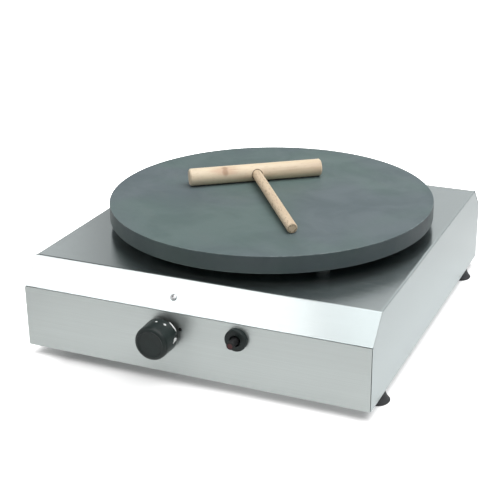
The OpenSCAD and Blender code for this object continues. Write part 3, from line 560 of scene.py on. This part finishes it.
def recess(head_r, head_h):
    """Mesh of the cross that is cut into a screw's head, narrower at its foot."""
    # Shares of the head's radius, of its height and, for the foot, of the top's length
    length, width, height, middle, foot = 1.1, 0.26, 1.5, 1.05, 0.35
    work = bmesh.new()
    for turn in (0, math.pi / 2):
        arm = bmesh.ops.create_cube(work, size=1)["verts"]
        for v in arm:
            narrowed = 1.0 if v.co.z > 0 else foot
            v.co = Vector((v.co.x * head_r * length * narrowed, v.co.y * head_r * width,
                           v.co.z * head_h * height + head_h * middle))
        bmesh.ops.rotate(work, verts=arm, matrix=Matrix.Rotation(turn, 3, "Z"))
    mesh = bpy.data.meshes.new("cross")
    work.to_mesh(mesh)
    work.free()
    return mesh


def cross_head(head_r, head_h, shank_l):
    """Mesh of a pan-head screw with a cross recess, its head up from z = 0."""
    steps, rim = 8, 0.35
    dome = [(head_r * math.sin(a), head_h * (rim + (1 - rim) * math.cos(a)))
            for a in [math.pi / 2 * i / steps for i in range(steps + 1)]]
    profile = [(0.0, -shank_l), (SCREW_SHANK_R, -shank_l), (SCREW_SHANK_R, 0.0), (head_r, 0.0)]
    blank = welded("screw", *revolve(profile + dome[::-1], 40))
    head = bpy.data.objects.new("screw_blank", blank)
    tool = bpy.data.objects.new("screw_tool", recess(head_r, head_h))
    for o in (head, tool):
        bpy.context.scene.collection.objects.link(o)
    cut = head.modifiers.new("cut", "BOOLEAN")
    cut.operation, cut.object, cut.solver = "DIFFERENCE", tool, "EXACT"
    cut.use_self = True
    bpy.context.view_layer.update()
    shown = head.evaluated_get(bpy.context.evaluated_depsgraph_get())
    made = bpy.data.meshes.new_from_object(shown)
    for o in (head, tool):
        bpy.data.objects.remove(o)
    return made


def make_screws(material):
    """Cross-head screws in the places of the CAD's plain ones, each turned its own way."""
    first_turn, next_turn = 0.6, 1.3
    for node, (axis, head_r, head_h, shank_l) in SCREWS.items():
        blank = cross_head(head_r, head_h, shank_l)
        work = bmesh.new()
        up = Vector(axis).normalized()
        stand = up.to_track_quat("Z", "Y").to_matrix().to_4x4()
        middle = (head_h - shank_l) / 2
        for i, (low, high) in enumerate(islands(node)):
            seat = (low + high) / 2 - up * middle
            turn = Matrix.Rotation(first_turn + next_turn * i, 4, "Z")
            copy = blank.copy()
            copy.transform(Matrix.Translation(seat) @ stand @ turn)
            work.from_mesh(copy)
        mesh = bpy.data.meshes.new(node + "_cross_head")
        work.to_mesh(mesh)
        work.free()
        piece = add_piece(node + "_cross_head", mesh, "housing", material)
        smooth(mesh, sharp=35)
        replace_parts(piece, node)


def make_spring(node, material, wire_r, turns):
    """A wound spring in the place of a CAD tube, with its coils closed at both ends.
    """
    around, per_turn, closed = 10, 28, 0.75
    low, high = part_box(node)
    middle = (low + high) / 2
    coil_r = (high.x - low.x) / 2 - wire_r
    count = turns * per_turn
    rise = high.y - low.y - 2 * wire_r - 4 * wire_r * closed
    points, faces = [], []
    for i in range(count + 1):
        turn = i / per_turn
        share = max(0.0, min(1.0, (turn - closed) / (turns - 2 * closed)))
        flat = 2 * wire_r * (min(turn, closed) + max(0.0, turn - turns + closed))
        y = low.y + wire_r + flat + share * rise
        a = 2 * math.pi * turn
        out = Vector((math.cos(a), 0, math.sin(a)))
        for c, s in circle(around):
            spot = out * (coil_r + wire_r * c) + Vector((0, wire_r * s, 0))
            points.append((middle.x + spot.x, y + spot.y, middle.z + spot.z))
    for i in range(count):
        for k in range(around):
            n = (k + 1) % around
            faces.append((i * around + k, i * around + n,
                          (i + 1) * around + n, (i + 1) * around + k))
    faces.append(tuple(reversed(range(around))))
    faces.append(tuple(count * around + k for k in range(around)))
    mesh = mesh_from(node + "_coil", points, faces)
    piece = add_piece(node + "_coil", mesh, "housing", material)
    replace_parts(piece, node)
    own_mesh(piece)


def side_radius(height):
    """Radius of the knob's side at a height over its back."""
    for (h0, d0), (h1, d1) in zip(KNOB_TAPER, KNOB_TAPER[1:]):
        if height <= h1 * MM:
            share = max(0.0, (height / MM - h0) / (h1 - h0))
            return KNOB_R - (d0 + (d1 - d0) * share) * MM
    return KNOB_R - KNOB_TAPER[-1][1] * MM


def index_lobe(angle, height):
    """How far the knob's back edge swells out where it carries the printed arc."""
    turn = math.degrees(math.atan2(math.sin(angle), math.cos(angle)))
    share = max(0.0, min(1.0, (turn - LOBE_FROM) / LOBE_FADE_IN, (LOBE_TO - turn) / LOBE_FADE_OUT,
                         (LOBE_TOP - height) / LOBE_FADE_UP))
    return share * share * (3 - 2 * share) * LOBE_SWELL


def make_knob(material):
    """The knob with its neck, its rounded shoulder and the shallow dish in its face."""
    face = KNOB_REACH / MM
    steps = 10
    bore = [(4.5, 20), (4.5, 0)]
    neck = [(9.1, 0), (9.5, 0.4), (9.5, 2.6)]
    back = [(19.8, 2.6), (20.1, 2.8)]
    side = [(side_radius(h * MM) / MM, h) for h in (3.1, 5.0, 8.0, 15.0)]
    shoulder = [(16.7 + 3.1 * math.cos(a), face - 5.2 + 4.8 * math.sin(a))
                for a in [math.pi / 2 * i / steps for i in range(steps + 1)]]
    lip = [(16.3, face - 0.1), (16.0, face), (15.7, face - 0.1)]
    dish = [(15.3, face - 0.6), (14.9, face - 1.1), (14.4, face - 1.35), (13.6, face - 1.45),
            (6, face - 1.5), (0, face - 1.5)]
    rings, faces = revolve(bore + neck + back + side + shoulder + lip + dish, 128)
    points = []
    for x, y, h in rings:
        r, a = math.hypot(x, y) * MM, math.atan2(y, x)
        if r > LOBE_BEYOND:
            r += index_lobe(a, h * MM)
        points.append((KNOB_X + r * math.cos(a), KNOB_BACK - h * MM, KNOB_Z + r * math.sin(a)))
    mesh = welded("gas_knob", points, faces)
    smooth(mesh, sharp=40)
    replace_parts(add_piece("gas_knob", mesh, "knob", material), "control_knob")


def side_point(angle, height):
    """A point of ink on the knob's side."""
    r = side_radius(height) + index_lobe(angle, height) + INK_LIFT
    return (KNOB_X + r * math.cos(angle), KNOB_BACK - height, KNOB_Z + r * math.sin(angle))


def side_dot(angle, height, r):
    """A round printed dot on the knob's side."""
    rim = 20
    around = r / side_radius(height)
    points = [side_point(angle, height)]
    points += [side_point(angle + around * c, height + r * s) for c, s in circle(rim)]
    return points, fan(rim)


def side_strip(rows):
    """A printed shape on the knob's side, its rows joined by finer ones 2 degrees apart."""
    points, faces, fine = [], [], []
    for (a0, l0, h0), (a1, l1, h1) in zip(rows, rows[1:]):
        steps = max(1, round(abs(a1 - a0) / 2))
        fine += [(a0 + (a1 - a0) * i / steps, l0 + (l1 - l0) * i / steps,
                  h0 + (h1 - h0) * i / steps) for i in range(steps)]
    fine.append(rows[-1])
    for angle, low, high in fine:
        points += [side_point(math.radians(angle), h * MM) for h in (low, (low + high) / 2, high)]
    for i in range(len(fine) - 1):
        for k in (0, 1):
            faces.append((i * 3 + k, i * 3 + k + 1, i * 3 + k + 4, i * 3 + k + 3))
    return points, faces


def make_knob_marks(material):
    """The white dots, arc and pointer on the knob's side, as one piece."""
    shapes = [side_dot(math.radians(angle), h * MM, r * MM) for angle, h, r in KNOB_DOTS]
    shapes += [side_strip(KNOB_ARC), side_strip(KNOB_POINTER)]
    points, faces = [], []
    for more_points, more_faces in shapes:
        faces += [tuple(i + len(points) for i in face) for face in more_faces]
        points += more_points
    mesh = mesh_from("knob_marks", points, faces)
    add_piece("knob_marks", mesh, "knob", material)


def make_reference_dot(material):
    """The printed dot on the panel, just proud of it and a little domed."""
    rim = 28
    y = PANEL_Y - 0.06 * MM
    points = [(REFERENCE_X, y - 0.04 * MM, REFERENCE_Z)]
    points += [(REFERENCE_X + REFERENCE_R * c, y, REFERENCE_Z + REFERENCE_R * s)
               for c, s in circle(rim)]
    mesh = mesh_from("reference_dot", points, fan(rim))
    add_piece("reference_dot", mesh, "housing", material)


def make_inlet(material):
    """The inlet fitting with its pipe thread cut: hexagon, shoulder, thread and bore."""
    low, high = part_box("inlet_fitting")
    centre_x, centre_z = (low.x + high.x) / 2, (low.z + high.z) / 2
    hex_r, hex_end = (high.x - low.x) / 2, low.y + 14 * MM
    shoulder_r, bore_r, core_r = 12.4 * MM, 5 * MM, THREAD_R - THREAD_DEPTH
    bevel = 0.4 * MM
    steps, per_turn = 72, 8
    start, end = high.y - THREAD_L, high.y - 1.0 * MM
    count = int((end - start) / THREAD_PITCH * per_turn)
    rows = [start + (end - start) * k / count for k in range(count + 1)]
    before = [(shoulder_r, hex_end), (shoulder_r, start - bevel), (shoulder_r - bevel, start),
              (core_r, start)]
    after = [(core_r, end + 0.3 * MM), (core_r - 0.6 * MM, high.y), (bore_r + 0.6 * MM, high.y),
             (bore_r, high.y - 0.6 * MM), (bore_r, low.y)]
    points, faces = [], []
    for i, (c, s) in enumerate(circle(steps)):
        cut = []
        for y in rows:
            wave = abs(((y - start) / THREAD_PITCH - i / steps) % 1.0 - 0.5) * 2
            fade = min(1.0, (y - start) / THREAD_PITCH, (end - y) / THREAD_PITCH * 2)
            cut.append((core_r + THREAD_DEPTH * (1 - wave) * max(0.0, fade), y))
        points += [(r * c, y, r * s) for r, y in before + cut + after]
    n = len(before) + len(rows) + len(after)
    for i in range(steps):
        j = (i + 1) % steps
        for k in range(n - 1):
            faces.append((i * n + k, i * n + k + 1, j * n + k + 1, j * n + k))
    corner, sides = len(points), 6
    for y in (low.y, hex_end):
        points += [(hex_r * c, y, hex_r * s) for c, s in circle(sides)]
    for i in range(sides):
        j = (i + 1) % sides
        faces.append((corner + i, corner + sides + i, corner + sides + j, corner + j))
    faces.append(tuple(corner + sides - 1 - i for i in range(sides)))
    faces.append(tuple(corner + sides + i for i in range(sides)))
    points = [(x + centre_x, y, z + centre_z) for x, y, z in points]
    mesh = mesh_from("inlet_fitting_threaded", points, faces, sharp=40)
    piece = add_piece("inlet_fitting_threaded", mesh, "housing", material)
    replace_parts(piece, "inlet_fitting")


def dress(groups):
    """Gives each CAD node its material."""
    for material, names in groups:
        for name in names:
            slots = NODES[name].data.materials
            slots.clear()
            slots.append(material)


def make_materials():
    """Dresses the CAD nodes, and returns the materials that pieces of the scene share."""
    zinc = turned_metal("zinc_steel", (0.62, 0.63, 0.64))
    turned = turned_metal("turned_steel", (0.50, 0.51, 0.51), 0.3)
    brass = turned_metal("brass_metal", (0.60, 0.43, 0.18), 0.26, 0.64)
    knob = plastic("knob_black", (0.0085, 0.0155, 0.0145), 0.38, gloss=0.32)
    bar_tones = ((0.93, 0.79, 0.59), (0.89, 0.725, 0.51), (0.68, 0.50, 0.325))
    handle_tones = ((0.80, 0.655, 0.475), (0.72, 0.57, 0.40), (0.44, 0.315, 0.195))
    corners = [f"{a}_{b}" for a in ("front", "rear") for b in ("left", "right")]
    dress([
        (brushed_sheet("cover_sheet", (0.505, 0.562, 0.566), 0.21, 0.8), ["top_cover"]),
        (brushed_sheet("panel_sheet", (0.505, 0.545, 0.535), 0.41, 0.3, 3.0),
         ["front_panel", "rear_panel"]),
        (mill_steel("mill_sheet", (0.52, 0.53, 0.53)),
         ["base_plate", "burner_pan", "mixer_bracket", "tap_bracket", "pilot_bracket",
          "air_shutter"]),
        (rubber("foot_black"), [c + "_foot" for c in corners]),
        (zinc, ["foot_screws", "foot_nuts", "rear_panel_screws", "base_screws", "post_nuts",
                "hub_screws", "bracket_screw", "bracket_nut"]),
        (turned, [c + "_post" for c in corners]),
        (turned, ["tap_spindle", "safety_plunger", "tap_spring", "igniter_spring"]),
        (griddle_iron("griddle_plate_iron"), ["griddle_plate"]),
        (cast_iron("burner_casting"), ["burner_hub", "burner_cap", "mixer_tube"]),
        (hot_tube("burner_tube"), [f"burner_arm_{i}" for i in range(1, 9)]),
        (brass, ["injector", "gas_tap_body", "tap_nut", "supply_pipe", "pipe_nuts",
                 "inlet_fitting", "inlet_nut"]),
        (turned_metal("copper_metal", (0.62, 0.33, 0.21), 0.3, 0.8), ["thermocouple"]),
        (glazed("porcelain"), ["ignition_electrode"]),
        (plastic("lead_sleeve", (0.55, 0.53, 0.49), 0.6), ["ignition_lead"]),
        (knob, ["control_knob"]),
        (plastic("igniter_black", (0.008, 0.014, 0.0135), 0.42, gloss=0.3),
         ["igniter_body", "igniter_nut"]),
        (button_plastic("button_black"), ["igniter_button"]),
        (beech("beech_bar", ALONG_BAR, bar_tones, 0.28), ["spreader_bar"]),
        (beech("beech_handle", ALONG_HANDLE, handle_tones, 0.6, seed=0.3), ["spreader_handle"]),
    ])
    return zinc, turned, brass, knob


def make_camera():
    """The camera at the photograph's viewing angle."""
    data = bpy.data.cameras.new("camera")
    data.lens, data.sensor_width = LENS, SENSOR
    data.clip_start, data.clip_end = CLIP_START, CLIP_END
    camera = bpy.data.objects.new("camera", data)
    bpy.context.scene.collection.objects.link(camera)
    ahead = Vector((-math.sin(CAMERA_TURN) * math.cos(CAMERA_DROP),
                    math.cos(CAMERA_TURN) * math.cos(CAMERA_DROP), -math.sin(CAMERA_DROP)))
    right = ahead.cross(Vector((0, 0, 1))).normalized()
    up = right.cross(ahead)
    c, s = math.cos(CAMERA_ROLL), math.sin(CAMERA_ROLL)
    right, up = c * right + s * up, c * up - s * right
    turn = Matrix((right, up, -ahead)).transposed()
    camera.matrix_world = Matrix.Translation(CAMERA_AT) @ turn.to_4x4()
    bpy.context.scene.camera = camera


def make_floor():
    """A pale floor that glows white to the camera round the object and keeps its shadow there.

    A mirror sees it greyer, and nothing of its glow beside the housing.
    """
    rim = 64
    points = [(0, 0, 0)] + [(FLOOR_RADIUS * c, FLOOR_RADIUS * s, 0) for c, s in circle(rim)]
    mesh = mesh_from("floor", points, fan(rim))
    floor = bpy.data.objects.new("floor", mesh)
    bpy.context.scene.collection.objects.link(floor)
    p = Paint("floor_paper", roughness=0.95, Specular_IOR_Level=0.1)
    p.set("Base Color", (0.86, 0.86, 0.86, 1))
    here = p.place()
    x, y = p.apart(here)[:2]
    away = p.length(here)
    # Distances outside the housing's footprint, negative under it
    beyond_side = p.math("SUBTRACT", p.math("ABSOLUTE", x), HALF_WIDTH)
    beyond_end = p.math("SUBTRACT", p.math("ABSOLUTE", y), -PANEL_Y)
    beyond = p.math("MAXIMUM", beyond_side, beyond_end)
    path = p.node("ShaderNodeLightPath").outputs
    # A painted glow lifts the shadow along the front, which is faintest at its left end and to the
    # right of the middle
    painted_glow_near = p.math("ADD", p.span(x, -0.10, 0.07, 0.33, 0.86), p.span(x, -0.215, -0.155, 1.0, 0.0))
    painted_glow_near = p.math("MULTIPLY", painted_glow_near, p.span(beyond, -0.015, 0.015, 0.2, 1.0))
    seen = p.math("ADD", painted_glow_near, p.span(beyond, 0.02, 0.30, 0.0, 0.75))
    mirrored = p.math("ADD", p.span(beyond, 0.0, 0.45, 0.22, -0.08),
                      p.span(away, 1.2, 5.0, 0.0, 0.2))
    mirrored = p.math("MULTIPLY", mirrored, p.span(beyond_side, 0.0, 0.10, 1.0, 0.0))
    glow = p.math("ADD", p.math("MULTIPLY", seen, path["Is Camera Ray"]),
                  p.math("MULTIPLY", mirrored, path["Is Glossy Ray"]))
    p.set("Emission Color", (*WHITE, 1))
    p.set("Emission Strength", glow)
    mesh.materials.append(p.material)


def make_room():
    """The world: white to the camera, dim light on the object, and a grey room in mirrors.

    The room is darkest high up on its left, and lower down it has a darker strip behind the object.
    """
    world = bpy.data.worlds.new("studio")
    bpy.context.scene.world = world
    world.use_nodes = True
    room = Nodes(world.node_tree)
    x, y, z = room.apart(room.node("ShaderNodeTexCoord").outputs["Generated"])
    # Degrees from +y towards +x
    bearing = room.math("MULTIPLY", room.math("ARCTAN2", x, y), 180 / math.pi)
    walls = room.math("ADD", room.span(bearing, -33.4, -31.2, 0.16, -0.30),
                      room.span(bearing, -27, -18, 0.0, 0.34))
    high = room.math("MULTIPLY", room.span(z, 0.50, 0.64), room.span(bearing, -26, -17, 1.0, 0.0))
    dimmed = room.math("SUBTRACT", 1.0, room.math("MULTIPLY", high, 0.85))
    grey = room.math("MULTIPLY", room.math("ADD", walls, ROOM), dimmed)
    path = room.node("ShaderNodeLightPath").outputs
    mirrored = room.math("MAXIMUM", path["Is Glossy Ray"], path["Is Transmission Ray"])
    lit = room.math("MULTIPLY", room.math("SUBTRACT", 1.0, mirrored), AMBIENT)
    strength = room.math("ADD", lit, room.math("MULTIPLY", mirrored, grey))
    strength = room.math("MAXIMUM", strength, path["Is Camera Ray"])
    background = world.node_tree.nodes["Background"]
    world.node_tree.links.new(strength, background.inputs["Strength"])
    background.inputs["Color"].default_value = (*WHITE, 1)


def make_lamps():
    """Three soft boxes overhead."""
    for name, (size, at, radiance, colour) in LAMPS.items():
        data = bpy.data.lights.new(name, "AREA")
        data.shape, data.size, data.size_y = "RECTANGLE", size[0], size[1]
        data.energy = radiance * size[0] * size[1] * math.pi
        data.color = colour
        lamp = bpy.data.objects.new(name, data)
        lamp.location = at
        lamp.rotation_mode = "QUATERNION"
        lamp.rotation_quaternion = Vector((0, 0, -1)).to_track_quat("-Z", "Y")
        bpy.context.scene.collection.objects.link(lamp)


make_camera()
zinc_steel, spring_steel, brass_metal, knob_plastic = make_materials()
make_screws(zinc_steel)
make_inlet(brass_metal)
make_spring("tap_spring", spring_steel, wire_r=0.4 * MM, turns=8)
make_spring("igniter_spring", spring_steel, wire_r=0.45 * MM, turns=9)
make_knob(knob_plastic)
make_knob_marks(ink("white_ink", (0.86, 0.87, 0.86)))
make_reference_dot(ink("black_ink", (0.012, 0.013, 0.014), 0.4))
make_floor()
make_room()
make_lamps()
bpy.context.scene.view_settings.view_transform = "Standard"
